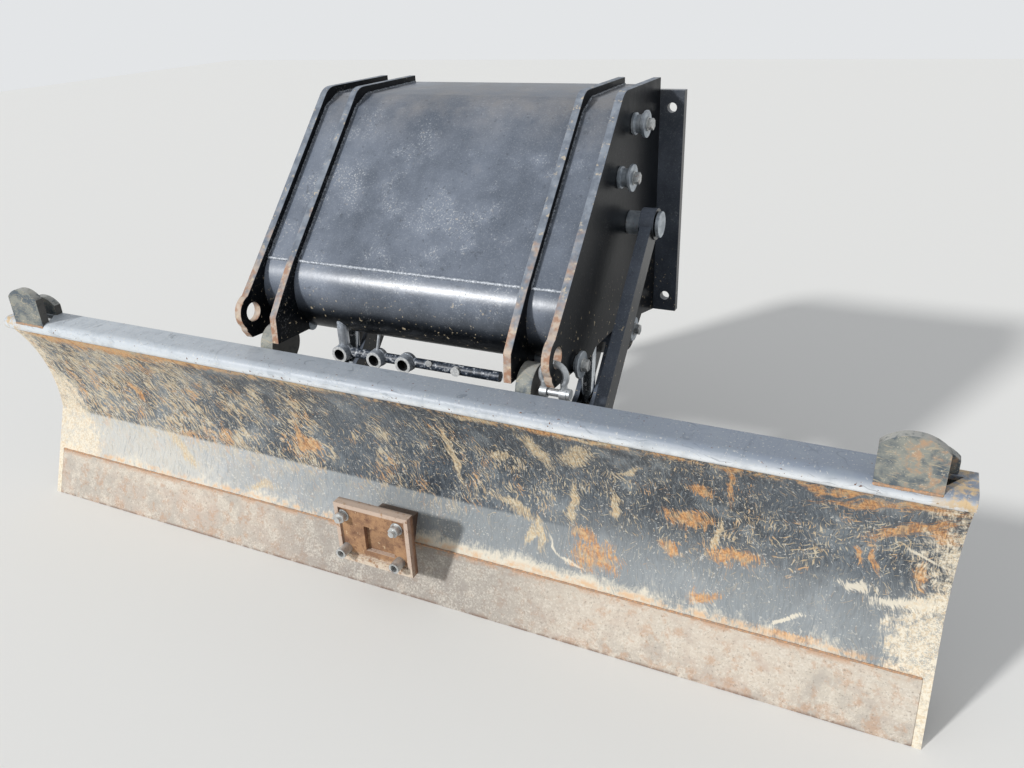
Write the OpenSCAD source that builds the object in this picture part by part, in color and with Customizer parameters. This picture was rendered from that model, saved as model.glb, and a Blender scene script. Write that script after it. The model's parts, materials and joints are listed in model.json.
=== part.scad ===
// Dozer blade unit of a wheeled excavator: blade, parallel lift linkage and bolt-on bracket.
// Millimetres. X runs to the right, Y to the rear, Z up. The origin is the middle of the
// bracket's rear mounting face, and the blade stands on the ground in front of it.
// Inside the modules, places are [y, z] with y from the lip's front and z from the ground.

/* [Blade] */
// Width of the blade over its ends
blade_w = 2550; // [2400:10:2700]
// Height of the blade from the cutting edge to the top of the lip
blade_h = 602; // [598:1:604]
// Thickness of the curved blade skin
skin_t = 12; // [10:1:13]
// Depth of the crease behind the cutting edge
crease_y = 102; // [98:1:106]
// Height of the crease where the flat lower part meets the curve
crease_z = 262; // [250:1:270]
// Radius of the curved upper part
curl_r = 456; // [440:1:475]
// Radius of the round bar along the lip's front
lip_r = 20; // [17:1:21]
// Depth of the lip from front to rear
lip_d = 93; // [88:1:94]
// Thickness of the lip's top plate and of the plate that closes it behind
lip_t = 10; // [8:1:12]
// Height of the cutting edge plate
edge_h = 135; // [120:1:140]
// Thickness of the cutting edge plate
edge_t = 20; // [16:1:22]
// Depth of the rear box beam behind the cutting edge
box_y = 178; // [172:1:180]
// Thickness of the box beam's plate
box_t = 10; // [8:1:12]
// Thickness of the end plates
end_t = 18; // [14:1:20]
// Thickness of the lug plates on the blade's back
lug_t = 14; // [12:1:14]

/* [Corner lugs] */
// Length of a corner lug along the lip
corner_len = 117; // [100:1:124]
// Height of a front corner lug above the lip
corner_h = 98; // [85:1:105]
// Height of a rear corner lug above the lip
corner_low_h = 52; // [44:1:60]
// Thickness of a corner lug plate
corner_t = 22; // [18:1:22]
// Distance of the corner lugs from the end of the blade
corner_in = 54; // [50:1:70]

/* [Tow bracket] */
// Width of the tow bracket's plate
tow_w = 216; // [200:1:230]
// Height of the tow bracket's plate
tow_h = 172; // [160:1:180]
// Thickness of the tow bracket's cover plate
tow_t = 26; // [20:1:30]
// Distance of the tow bracket's front from the cutting edge plane
tow_out = 48; // [44:1:50]
// Height of the tow bracket's centre above the ground
tow_z = 196; // [192:1:200]
// Bolt spacing of the tow bracket across
tow_bolt_x = 158; // [150:1:164]
// Bolt spacing of the tow bracket up
tow_bolt_z = 98; // [90:1:106]
// Bolt hole radius of the tow bracket
tow_hole_r = 9; // [7:0.5:10]

/* [Bracket] */
// Distance from the machine's middle to the middle of an outer plate
outer_x = 429; // [428:1:431]
// Distance from the machine's middle to the middle of an inner plate
inner_x = 330; // [326:1:331]
// Thickness of the four side plates
plate_t = 20; // [16:1:20]
// Height of the side plates' top edge above the ground
top_z = 1192; // [1186:1:1200]
// Radius of the rounded top front corner
corner_r = 60; // [50:1:70]
// Thickness of the covers
cover_t = 8; // [6:1:10]
// Distance of the covers behind the plates' front edge
cover_in = 18; // [14:1:20]
// Outer radius of the rolled nose under the covers
nose_r = 120; // [116:1:122]
// Radius of the tie-down eye
eye_r = 25; // [22:1:27]
// Radius of the round lobe that holds the tie-down eye
lobe_r = 48; // [45:1:48]
// Distance from the lip's front to the rear mounting face
reach = 885; // [880:1:900]
// Height of the mounting face's middle above the ground
stance = 850; // [845:1:855]
// Thickness of the mounting flange
flange_t = 25; // [20:1:30]
// Width of the mounting flange
flange_w = 1010; // [1004:1:1030]
// Gap between the mounting flange's top and the covers above it
flange_gap = 6; // [4:1:12]
// Distance of the flange bolts from its sides
bolt_side = 33; // [30:0.5:34]
// Distance of the flange bolts from its upper and lower edges
bolt_edge = 45; // [40:1:60]
// Radius of the flange bolt holes
bolt_r = 13; // [11:0.5:14]

/* [Linkage] */
// Radius of the pins of arms, links and cylinders
pin_r = 22; // [20:0.5:23]
// Running clearance between a pin and its bore
fit = 0.06; // [0.04:0.01:0.1]
// Radius of the round discs on the pin ends
disc_r = 33; // [31:1:35]
// Thickness of the discs
disc_t = 8; // [6:1:9]
// Distance that the discs of the upper pins stand off the outer plates
stand_off = 28; // [22:1:29]
// Radius of the pins through the bracket's ears
ear_pin_r = 18; // [15:0.5:18]
// Clearance between a bearing's end and the lugs beside it
play = 2; // [1.5:0.5:2.5]
// Width of a lift arm over its two cheeks
arm_w = 64; // [62:1:65]
// Thickness of the cheek plates
cheek_t = 14; // [12:1:14]
// Half depth of a lift arm
arm_d = 46; // [43:1:47]
// Outer radius of the arm's bearing tubes
boss_r = 42; // [40:0.5:43]
// Radius of the cross tube between the lift arms
tube_r = 50; // [46:1:51]
// Wall of the cross tube
tube_wall = 10; // [8:1:14]
// Place of the cross tube along the arm, from the arm's pivot
tube_at = 340; // [338:1:341]
// Thickness of an upper link
link_t = 30; // [26:1:30]
// Half depth of an upper link
link_d = 30; // [26:1:34]

/* [Cylinders] */
// Outer radius of the cylinder barrel
barrel_r = 34; // [31:1:34]
// Radius of the piston rod
rod_r = 18; // [16:1:19]
// Wall of the barrel
barrel_wall = 8; // [6:1:9]
// Distance from the arm's pivot to the cylinder's lower pin
lever = 250; // [248:1:252]

/* [Hidden] */
$fn = 96;

// Pivots: arm and link on the blade, and the same step up to their pivots on the bracket
arm_tip = [212, 115];
link_tip = [185, 420];
step = [428, 445];
arm_root = arm_tip + step;
link_root = link_tip + step;
cyl_root = [533, 996];
tie_at = [635, top_z - 85];
ear_at = [238, 623];
eye_at = [128, 684];
guide_at = [150, 595];
guide_r = 55;
guide_w = 40;
tow_x = 7;
pocket_in = 28;
pocket_w = 84;
neck_w = 110;
neck_h = 88;
tow_rim = 12;
tow_foot = 22;
tow_dish = 6;
link_out = 41;
port_at = [212, 570];
port_row = [-205, -98, -11];
port_r = 23;
port_bore = 15;
port_len = 34;
port_bar = 457;
shackle_r = 8;
shackle_bend = 29;
shackle_lean = 35;
shackle_eye = 17;
shackle_half = shackle_bend * cos(shackle_lean);
shackle_low = 598;

// Unit vectors along the lift arm and square to it, and the cylinder's lower pin on the arm
arm_len = norm(step);
arm_dir = -step / arm_len;
arm_up = [arm_dir[1], -arm_dir[0]];
arm_tilt = atan2(step[1], step[0]);
cyl_tip = arm_root + arm_dir * lever;
tube_c = arm_root + arm_dir * tube_at;
cyl_dir = (cyl_tip - cyl_root) / norm(cyl_tip - cyl_root);
cyl_tilt = atan2(cyl_dir[1], cyl_dir[0]);
cyl_len = norm(cyl_tip - cyl_root);
rod_out = 220;
piston_up = 404;
barrel_len = cyl_len - rod_out;
piston_at = cyl_len - piston_up;

// Side plates: the slanted front edge from the knee to the top corner, and the bays
knee = [193, 808];
front_dir = [0.693, 0.721];
front_in = [0.721, -0.693];
top_corner = knee + front_dir * (top_z - knee[1]) / front_dir[1];
rear_y = reach - flange_t;
cover_top = top_z - cover_in;
cover_foot = knee + front_in * cover_in + front_dir * 13;
cover_bend = cover_foot + front_dir * (cover_top - 30 - cover_foot[1]) / front_dir[1];
flange_h = 2 * (cover_top - cover_t - flange_gap - stance);
flange_low = stance - flange_h / 2;
bolt_x = flange_w - 2 * bolt_side;
bolt_z = flange_h - 2 * bolt_edge;
nose_c = cover_foot + front_in * nose_r;
bay_low = inner_x + plate_t / 2;
bay_high = outer_x - plate_t / 2;
bay_x = (bay_low + bay_high) / 2;
bay_w = bay_high - bay_low;
plate_face = outer_x + plate_t / 2;
link_x = plate_face + link_out + link_t / 2;

// Blade section: unit vectors up the flat lower part and square to it, and the curve's centre
flat_up = [crease_y, crease_z] / norm([crease_y, crease_z]);
flat_in = [flat_up[1], -flat_up[0]];
crease = [crease_y, crease_z];
flat_foot = flat_up * edge_h / flat_up[1];
lip_c = [lip_r, blade_h - lip_r];
curl_c = circle_meet(crease, curl_r, lip_c, curl_r + lip_r - 9);
curl_in = (crease - curl_c) / curl_r;
curl_low = unit(crease - flat_up * 4 - curl_c);
beam_foot = curl_c + [cos(16), sin(16)] * (curl_r + skin_t);
box_top = 296;
box_low = 152;
between_w = blade_w - 2 * end_t;
end_lap = 6;

function unit(v) = v / norm(v);

// Centre of a circle with radius ra through point a and at distance rb from point b
function circle_meet(a, ra, b, rb) =
    let (d = norm(b - a), u = (b - a) / d, m = (ra * ra - rb * rb + d * d) / (2 * d),
        h = sqrt(ra * ra - m * m))
    a + u * m + [-u[1], u[0]] * h;

// Depth of the curved skin's back at a height
function skin_back(z) = curl_c[0] + sqrt(pow(curl_r + skin_t, 2) - pow(z - curl_c[1], 2));

// Moves a piece into the machine's frame
module site() {
    translate([0, -reach, -stance]) children();
}

// Stands a [y, z] outline up as a slab that starts at x = from and is t thick
module slab(from, t) {
    translate([from, 0, 0]) rotate([90, 0, 90]) linear_extrude(t) children();
}

// Keeps the right side's piece, or mirrors it to the left when s is -1
module side(s) {
    mirror([s < 0 ? 1 : 0, 0, 0]) children();
}

module dot(at, r) {
    translate(at) circle(r);
}

module bar(at, r, from, len) {
    slab(from, len) dot(at, r);
}

// Disc around the curve's centre, kept between the crease and the lip
module sector(r) {
    difference() {
        dot(curl_c, r);
        polygon([curl_c, curl_c + (lip_c - curl_c) * 2, [-1500, 1300], [-1500, -400],
            [900, -400], curl_c + curl_low * 900]);
    }
}

// Slabs that hold everything in front of the blade's rear faces
module front_slab(from, t) {
    slab(from, t) sector(curl_r + skin_t);
    slab(from, t) polygon([curl_c + [0, 30], crease + curl_in * skin_t,
        crease + flat_in * skin_t, flat_in * skin_t - flat_up * 90, [-900, -90]]);
    slab(from, t) polygon([[-400, -90], flat_in * edge_t - flat_up * 90,
        flat_foot + flat_in * edge_t, flat_foot, [-400, edge_h]]);
}

module moldboard_body() {
    from = -between_w / 2;
    slab(from, between_w) polygon([flat_foot + flat_in * skin_t, crease + flat_in * skin_t,
        crease + curl_in * skin_t, crease, flat_foot]);
    difference() {
        slab(from, between_w) sector(curl_r + skin_t);
        slab(from - 1, between_w + 2) dot(curl_c, curl_r);
    }
    slab(from, between_w) dot(lip_c, lip_r);
    slab(from, between_w) polygon([[lip_c[0], blade_h], [lip_d, blade_h],
        [lip_d, blade_h - lip_t], [lip_c[0], blade_h - lip_t]]);
    slab(from, between_w) polygon([[lip_d - lip_t, blade_h], [lip_d, blade_h], beam_foot,
        beam_foot - [9, 0]]);
}

module moldboard() {
    color("#2b3138") site() difference() {
        moldboard_body();
        for (s = [-1, 1]) side(s)
            translate([blade_w / 2 - corner_in - corner_len, 0, blade_h - lip_t - 2])
                linear_extrude(lip_t + 4) polygon([[6, corner_t + 6], [corner_len + 4, corner_t + 6],
                    [corner_len + 30, lip_d - corner_t - 4], [32, lip_d - corner_t - 4]]);
    }
}

module cutting_edge() {
    color("#a08a78") site() slab(-between_w / 2, between_w)
        polygon([[0, 0], flat_foot, flat_foot + flat_in * edge_t, [edge_t / flat_in[0], 0]]);
}

module rear_box() {
    from = -between_w / 2;
    color("#22262b") site() difference() {
        slab(from, between_w) polygon([[crease_y - 10, box_top + 45], [crease_y, box_top + 40],
            [box_y, box_top], [box_y, box_low], [40, box_low - 12], [40, 200]]);
        front_slab(from - 1, between_w + 2);
        slab(from - 1, between_w + 2) polygon([[crease_y - 10, box_top + 45 - box_t * 1.2],
            [crease_y, box_top + 40 - box_t * 1.2], [box_y - box_t, box_top - box_t * 0.8],
            [box_y - box_t, box_low + box_t], [40, box_low - 12 + box_t], [40, 200]]);
    }
}

module end_plate(s) {
    from = blade_w / 2 - end_t;
    top = box_top + 36;
    mid = (top + beam_foot[1]) / 2;
    color("#8d8f8a") site() side(s) difference() {
        slab(from, end_t) {
            dot(lip_c, lip_r);
            polygon([crease, [0, 0], [edge_t / flat_in[0], 0], [edge_t / flat_in[0] + 36, 84],
                [box_y, box_low], [box_y, box_top], [skin_back(top) + end_lap, top],
                [skin_back(mid) + end_lap, mid], beam_foot + [end_lap, 0],
                [lip_d, blade_h], [lip_c[0], blade_h], lip_c]);
        }
        slab(from - 1, end_t + 2) sector(curl_r);
    }
}

// Upright plate on the lip with a rounded top
module lip_lug(s, from_x, len, h, from_y) {
    from = blade_w / 2 - corner_in - corner_len + from_x;
    site() side(s) difference() {
        translate([from, from_y + corner_t, blade_h - lip_r]) rotate([90, 0, 0])
            linear_extrude(corner_t) intersection() {
                translate([len / 2, h + lip_r - 78]) circle(78);
                square([len, h + lip_r + 1]);
            }
        bar(lip_c, lip_r, 0, 2 * blade_w);
        slab(0, 2 * blade_w) polygon([[lip_r, 0], [400, 0], [400, blade_h], [lip_r, blade_h]]);
    }
}

module corner_lug(s) {
    color("#4a4f48") lip_lug(s, 0, corner_len, corner_h, 3);
}

module rear_lug(s) {
    color("#33383a") lip_lug(s, 26, corner_len - 5, corner_low_h, lip_d - corner_t);
}

// Cheek pair: two slabs of one outline with a gap between them
module cheeks(x, gap) {
    for (k = [-1, 1]) slab(x + k * (gap + lug_t) / 2 - lug_t / 2, lug_t) children();
}

module arm_lug(s) {
    gap = arm_w + 8 + 2 * play;
    color("#2b3138") site() side(s) difference() {
        union() {
            cheeks(bay_x, gap) {
                dot(arm_tip, boss_r + 6);
                polygon([[box_y, box_top - 60], [box_y + 12, box_top - 64],
                    arm_tip + [boss_r + 5, 10], arm_tip + [8, -boss_r - 5],
                    [60, box_low - 78], [60, box_low - 12], [box_y, box_low]]);
            }
            slab(bay_x - gap / 2 - 1, gap + 2)
                polygon([[box_y, box_low + 18], [box_y + 10, box_low + 18],
                    [box_y + 10, box_top - 66], [box_y, box_top - 66]]);
        }
        front_slab(200, 400);
        slab(200, 400) polygon([[0, 0], [0, 300], [box_y, box_top], [box_y, box_low],
            [40, box_low - 12], [40, 0]]);
        bar(arm_tip, pin_r + fit, 0, 900);
    }
}

module link_lug(s) {
    gap = link_t + 8 + 2 * play;
    low = link_tip[1] - 44;
    web_y = skin_back(low + 19) + 12;
    color("#2b3138") site() side(s) difference() {
        union() {
            cheeks(link_x, gap) {
                dot(link_tip, boss_r - 4);
                polygon([[60, box_top + 90], [skin_back(box_top + 52) - 1, box_top + 52],
                    link_tip + [8, -37], link_tip + [12, 36], [112, 486], [60, 486]]);
            }
            slab(link_x - gap / 2 - 1, gap + 2)
                polygon([[60, low], [web_y, low], [web_y, low + 38], [60, low + 38]]);
        }
        front_slab(400, 300);
        slab(400, 300) polygon([[0, 400], beam_foot, [lip_d, blade_h], [0, blade_h]]);
        bar(link_tip, pin_r + fit, 0, 900);
    }
}

// Round stop that stands between the bracket's ears
module guide_lug(s) {
    color("#2b3138") site() side(s) difference() {
        slab(bay_low + 6, guide_w) {
            dot(guide_at, guide_r);
            polygon([[80, 446], [112, 446], [150, 500], guide_at + [50, -22],
                guide_at + [-20, 45], [60, 560]]);
        }
        front_slab(200, 400);
        slab(200, 400) polygon([[0, 400], beam_foot, [lip_d, blade_h], [lip_d, 900], [0, 900]]);
    }
}

module tow_bracket() {
    low = tow_z - tow_h / 2;
    from = tow_x - tow_w / 2;
    color("#8a4f2e") site() difference() {
        union() {
            translate([from, -tow_out, low]) cube([tow_w, tow_t, tow_h]);
            slab(tow_x - neck_w / 2, neck_w) polygon([[tow_t - tow_out - 2, low + 22], [200, low + 22],
                [200, low + neck_h], [tow_t - tow_out - 2, low + neck_h + 25]]);
        }
        slab(from - 1, tow_w + 2) polygon([-flat_up * 90, crease, crease + [4, 60], [600, 600],
            [600, -200]]);
        translate([from + tow_rim, -tow_out - 1, low + tow_foot])
            cube([tow_w - 2 * tow_rim, tow_dish + 1, tow_h - tow_rim - tow_foot]);
        for (x = [-1, 1], z = [-1, 1])
            translate([x * tow_bolt_x / 2, 0, tow_z + z * tow_bolt_z / 2])
                rotate([90, 0, 0]) cylinder(r = tow_hole_r, h = 200);
        translate([tow_x - pocket_in, -tow_out - 1, low + tow_h * 0.25])
            cube([pocket_w, tow_dish + 13, tow_h * 0.42]);
    }
}

// Pin that ends in a disc, which stands off the face on a collar and a ring
module disc_pin(at, r, from, face, stand) {
    bar(at, r, from, face + stand + disc_t - 1 - from);
    bar(at, r + 5, face, min(stand, 8));
    if (stand > 16) bar(at, r + 4, face + stand - 6, 6);
    bar(at, disc_r, face + stand, disc_t);
}

module arm_tip_pin(s) {
    reach_x = (arm_w + 8) / 2 + play + lug_t;
    color("#8b9298") site() side(s) {
        bar(arm_tip, pin_r, bay_x - reach_x - 3, 2 * reach_x + 6);
        bar(arm_tip, pin_r + 8, bay_x + reach_x, 6);
    }
}

module link_tip_pin(s) {
    reach_x = (link_t + 8) / 2 + play + lug_t;
    color("#8b9298") site() side(s) {
        bar(link_tip, pin_r, link_x - reach_x - 3, 2 * reach_x + 6);
        bar(link_tip, pin_r + 8, link_x + reach_x, 6);
    }
}

module arm_beam() {
    polygon([arm_root + arm_up * arm_d, arm_tip + arm_up * (arm_d - 8),
        arm_tip - arm_up * (arm_d - 8), arm_root - arm_up * arm_d]);
}

// Open space between the cheeks for the cylinder's eye, and the hollow of the box beyond it
module arm_hollow() {
    from = arm_root + arm_dir * (boss_r + 24);
    to = arm_root + arm_dir * (lever + 62);
    last = arm_tip - arm_dir * (boss_r + 24);
    polygon([from + arm_up * 90, to + arm_up * 90, to - arm_up * 90, from - arm_up * 90]);
    polygon([to + arm_dir * 12 + arm_up * (arm_d - 14), last + arm_up * (arm_d - 18),
        last - arm_up * (arm_d - 18), to + arm_dir * 12 - arm_up * (arm_d - 14)]);
}

module lift_arm(s) {
    color("#262b30") site() side(s) difference() {
        union() {
            slab(bay_x - arm_w / 2, arm_w) {
                arm_beam();
                dot(cyl_tip, arm_d + 4);
                dot(arm_root, arm_d + 2);
                dot(arm_tip, boss_r);
            }
            for (at = [arm_root, arm_tip]) bar(at, boss_r, bay_x - arm_w / 2 - 4, arm_w + 8);
        }
        slab(bay_x - arm_w / 2 + cheek_t, arm_w - 2 * cheek_t) difference() {
            arm_hollow();
            dot(arm_root, boss_r + 10);
            dot(arm_tip, boss_r + 10);
        }
        bar(arm_root, pin_r + fit, 0, 900);
        bar(arm_tip, pin_r + fit, 0, 900);
    }
}

module cross_tube() {
    w = 2 * (bay_x - arm_w / 2);
    color("#262b30") site() slab(-w / 2, w) difference() {
        dot(tube_c, tube_r);
        dot(tube_c, tube_r - tube_wall);
    }
}

module upper_link(s) {
    up = arm_up;
    color("#262b30") site() side(s) difference() {
        union() {
            slab(link_x - link_t / 2, link_t) polygon([link_root + up * link_d,
                link_tip + up * link_d, link_tip - up * link_d, link_root - up * link_d]);
            for (at = [link_root, link_tip])
                bar(at, boss_r - 2, link_x - link_t / 2 - 4, link_t + 8);
        }
        bar(link_root, pin_r + fit, 0, 900);
        bar(link_tip, pin_r + fit, 0, 900);
    }
}

// Round bar on the cylinder's line, from one distance below the upper pin to another
module stem(from, to, r) {
    at = cyl_root + cyl_dir * from;
    translate([bay_x, at[0], at[1]]) rotate([cyl_tilt + 90, 0, 0]) mirror([0, 0, 1])
        cylinder(r = r, h = to - from);
}

module barrel(s) {
    eye_w = arm_w;
    color("#2f3439") site() side(s) difference() {
        union() {
            stem(20, barrel_len, barrel_r);
            bar(cyl_root, pin_r + 15, bay_x - eye_w / 2, eye_w);
        }
        stem(58, barrel_len - 30, barrel_r - barrel_wall);
        stem(barrel_len - 31, barrel_len + 1, rod_r + fit);
        bar(cyl_root, pin_r + fit, 0, 900);
    }
}

module rod(s) {
    eye_w = arm_w - 2 * cheek_t - 2;
    color("#b9c0c6") site() side(s) {
        stem(piston_at, piston_at + 25, barrel_r - barrel_wall - 0.3);
        stem(piston_at + 20, cyl_len - 20, rod_r);
        bar(cyl_tip, 34, bay_x - eye_w / 2, eye_w);
    }
}

// Outline shared by the side plates, behind their ears
module plate_fill() {
    run = corner_r * tan((90 - atan2(front_dir[0], front_dir[1])) / 2);
    polygon([[230, 615], [404, 612], [545, 606], arm_root + [-44, -40], arm_root + [40, -44],
        arm_root + [105, 5], [rear_y, flange_low], [rear_y, top_z], top_corner + [run, 0],
        top_corner - front_dir * run, knee]);
    dot(top_corner + [run, -corner_r], corner_r);
    dot(arm_root, 60);
}

module plate_bores() {
    for (at = [arm_root, link_root, cyl_root, tie_at]) bar(at, pin_r + fit, 0, 900);
    bar(ear_at, ear_pin_r + fit, 0, 900);
}

module outer_plate(s) {
    from = outer_x - plate_t / 2;
    color("#1f242a") site() side(s) difference() {
        slab(from, plate_t) {
            plate_fill();
            dot(eye_at, lobe_r);
            polygon([knee + [60, 40], knee, eye_at + [-12, 46], eye_at + [-38, 0], [94, 640],
                [108, 619], [345, 600], [420, 640]]);
        }
        bar(eye_at, eye_r, 0, 900);
        plate_bores();
    }
}

module inner_plate(s) {
    color("#1f242a") site() side(s) difference() {
        slab(inner_x - plate_t / 2, plate_t) {
            plate_fill();
            polygon([knee + [60, 40], knee, [136, 740], [97, 690], [92, 620], [300, 610],
                [420, 640]]);
        }
        plate_bores();
    }
}

module cover_fill() {
    polygon([cover_foot - front_dir * 2, cover_bend, [cover_bend[0] + 60, cover_top - 3],
        [rear_y, cover_top], [rear_y, cover_top - 300], cover_foot + front_in * 300]);
}

// Folded top of a cover and its rolled nose
module cover_body(from, w, last) {
    difference() {
        slab(from, w) cover_fill();
        slab(from - 1, w + 2) translate([0.426 * cover_t, -cover_t]) cover_fill();
    }
    difference() {
        slab(from, w) dot(nose_c, nose_r);
        slab(from - 1, w + 2) dot(nose_c, nose_r - cover_t);
        slab(from - 1, w + 2) polygon([nose_c, nose_c - front_in * 500, nose_c + [400, 400],
            nose_c + [400, -400], nose_c + [cos(last), sin(last)] * 500]);
    }
}

module centre_cover() {
    w = 2 * (inner_x - plate_t / 2);
    color("#1b2026") site() cover_body(-w / 2, w, 279);
}

module narrow_cover(s) {
    color("#1b2026") site() side(s) cover_body(bay_low, bay_w, 220);
}

module mounting_flange() {
    color("#1f242a") site() translate([0, reach, stance]) rotate([90, 0, 0])
        linear_extrude(flange_t) difference() {
            square([flange_w, flange_h], center = true);
            for (x = [-1, 1], z = [-1, 1]) translate([x * bolt_x / 2, z * bolt_z / 2])
                circle(bolt_r);
        }
}

module plate_pin(s, at, r, keeper, stand) {
    from = inner_x - plate_t / 2 - keeper;
    color("#8b9298") site() side(s) {
        disc_pin(at, r, from, plate_face, stand);
        if (keeper > 0) bar(at, r + 5, from, keeper);
    }
}

module link_pin(s) {
    far = link_x + link_t / 2 + 4 + play;
    color("#8b9298") site() side(s) {
        bar(link_root, pin_r, inner_x - plate_t / 2 - 10, far - inner_x + plate_t / 2 + 10);
        bar(link_root, pin_r + 5, inner_x - plate_t / 2 - 10, 10);
        bar(link_root, pin_r + 8, plate_face, link_x - link_t / 2 - 4 - play - plate_face);
        bar(link_root, disc_r, far, 10);
    }
}

// Ring-ended hose ports on a bar under the rolled nose, hung from a tube
module port_block() {
    color("#2f3439") site() difference() {
        union() {
            for (x = port_row) translate([x, port_at[0] - port_len + 7, port_at[1]])
                rotate([-90, 0, 0]) cylinder(r = port_r, h = port_len);
            bar(port_at, 13, port_row[0], port_bar);
            translate([port_row[0], port_at[0], port_at[1]]) cylinder(r = 13, h = 90);
        }
        for (x = port_row) translate([x, port_at[0] - port_len + 6, port_at[1]])
            rotate([-90, 0, 0]) cylinder(r = port_bore, h = 16);
        bar(nose_c, nose_r, port_row[0] - 50, 100);
    }
}

// Bow with a round head whose limbs draw in towards the pin
module shackle_bow() {
    $fn = 40;
    bow_z = eye_at[1] - eye_r + shackle_r + 2.5 - shackle_bend;
    leg = bow_z - shackle_bend * sin(shackle_lean) - shackle_low;
    color("#a9adb0") site() translate([outer_x, eye_at[0], 0]) difference() {
        union() {
            translate([0, 0, bow_z]) rotate([90, 0, 0]) rotate([0, 0, -shackle_lean])
                rotate_extrude(angle = 180 + 2 * shackle_lean) translate([shackle_bend, 0])
                    circle(shackle_r);
            for (k = [-1, 1]) translate([k * shackle_half, 0, shackle_low]) {
                cylinder(r = shackle_r, h = leg);
                translate([0, 0, leg]) sphere(shackle_r + 0.4);
                rotate([0, 90, 0]) cylinder(r = 14, h = shackle_eye, center = true);
            }
        }
        translate([-60, 0, shackle_low]) rotate([0, 90, 0]) cylinder(r = 9, h = 120);
    }
}

module shackle_pin() {
    long = 2 * shackle_half + shackle_eye;
    color("#a9adb0") site() translate([outer_x - long / 2, eye_at[0], shackle_low]) rotate([0, 90, 0]) {
        cylinder(r = 8.9, h = long + 6);
        translate([0, 0, long]) cylinder(r = 13, h = 8);
    }
}

moldboard();
cutting_edge();
rear_box();
end_plate(-1);  // end_plate_left
end_plate(1);  // end_plate_right
corner_lug(-1);  // corner_lug_left
corner_lug(1);  // corner_lug_right
rear_lug(-1);  // rear_lug_left
rear_lug(1);  // rear_lug_right
arm_lug(-1);  // arm_lug_left
arm_lug(1);  // arm_lug_right
link_lug(-1);  // link_lug_left
link_lug(1);  // link_lug_right
guide_lug(-1);  // guide_lug_left
guide_lug(1);  // guide_lug_right
tow_bracket();
arm_tip_pin(-1);  // arm_tip_pin_left
arm_tip_pin(1);  // arm_tip_pin_right
link_tip_pin(-1);  // link_tip_pin_left
link_tip_pin(1);  // link_tip_pin_right
lift_arm(-1);  // lift_arm_left
lift_arm(1);  // lift_arm_right
cross_tube();
upper_link(-1);  // upper_link_left
upper_link(1);  // upper_link_right
barrel(-1);  // barrel_left
barrel(1);  // barrel_right
rod(-1);  // rod_left
rod(1);  // rod_right
outer_plate(-1);  // outer_plate_left
outer_plate(1);  // outer_plate_right
inner_plate(-1);  // inner_plate_left
inner_plate(1);  // inner_plate_right
centre_cover();
narrow_cover(-1);  // narrow_cover_left
narrow_cover(1);  // narrow_cover_right
mounting_flange();
plate_pin(-1, arm_root, pin_r, 12, 6);  // arm_pin_left
plate_pin(1, arm_root, pin_r, 12, 6);  // arm_pin_right
link_pin(-1);  // link_pin_left
link_pin(1);  // link_pin_right
plate_pin(-1, cyl_root, pin_r, 12, stand_off);  // cylinder_pin_left
plate_pin(1, cyl_root, pin_r, 12, stand_off);  // cylinder_pin_right
plate_pin(-1, tie_at, pin_r, 12, stand_off);  // tie_pin_left
plate_pin(1, tie_at, pin_r, 12, stand_off);  // tie_pin_right
plate_pin(-1, ear_at, ear_pin_r, 0, 8);  // ear_pin_left
plate_pin(1, ear_at, ear_pin_r, 0, 8);  // ear_pin_right
port_block();
shackle_bow();
shackle_pin();
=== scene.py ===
import bpy
import bmesh
import json
import math
import random
from mathutils import Matrix, Vector


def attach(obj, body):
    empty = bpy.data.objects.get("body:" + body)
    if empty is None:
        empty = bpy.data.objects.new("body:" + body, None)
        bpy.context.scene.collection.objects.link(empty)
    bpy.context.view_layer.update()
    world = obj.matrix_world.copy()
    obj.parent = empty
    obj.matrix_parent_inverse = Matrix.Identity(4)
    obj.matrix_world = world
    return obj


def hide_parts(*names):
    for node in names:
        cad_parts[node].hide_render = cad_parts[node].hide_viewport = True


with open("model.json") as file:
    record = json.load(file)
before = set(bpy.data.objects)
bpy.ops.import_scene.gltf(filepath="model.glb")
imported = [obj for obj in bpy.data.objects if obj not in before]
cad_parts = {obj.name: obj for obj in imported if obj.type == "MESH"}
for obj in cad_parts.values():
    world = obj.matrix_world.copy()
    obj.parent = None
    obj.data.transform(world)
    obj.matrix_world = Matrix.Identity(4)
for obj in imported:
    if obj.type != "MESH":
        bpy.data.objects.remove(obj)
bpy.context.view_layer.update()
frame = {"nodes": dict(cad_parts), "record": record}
bodies = frame["record"]["behaviour"]["bodies"]
bodyOfNode = {node: body for body, nodes in bodies.items() for node in nodes}
rng = random.Random(7)
print("frame loaded:", len(bodyOfNode), "nodes")

# Places are written from the ground under the lip's front. The frame's origin, the middle of
# the mounting face, lies this far behind the lip and above the ground.
site = {"reach": 0.885, "stance": 0.85}


def place(x, y, z):
    return Vector((x, y - site["reach"], z - site["stance"]))


def linear(code):
    # colour code such as "8a4f2e" as linear values
    parts = [int(code[i:i + 2], 16) / 255 for i in (0, 2, 4)]
    return [c / 12.92 if c <= 0.04045 else ((c + 0.055) / 1.055) ** 2.4 for c in parts] + [1.0]


# Shader wiring

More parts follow.
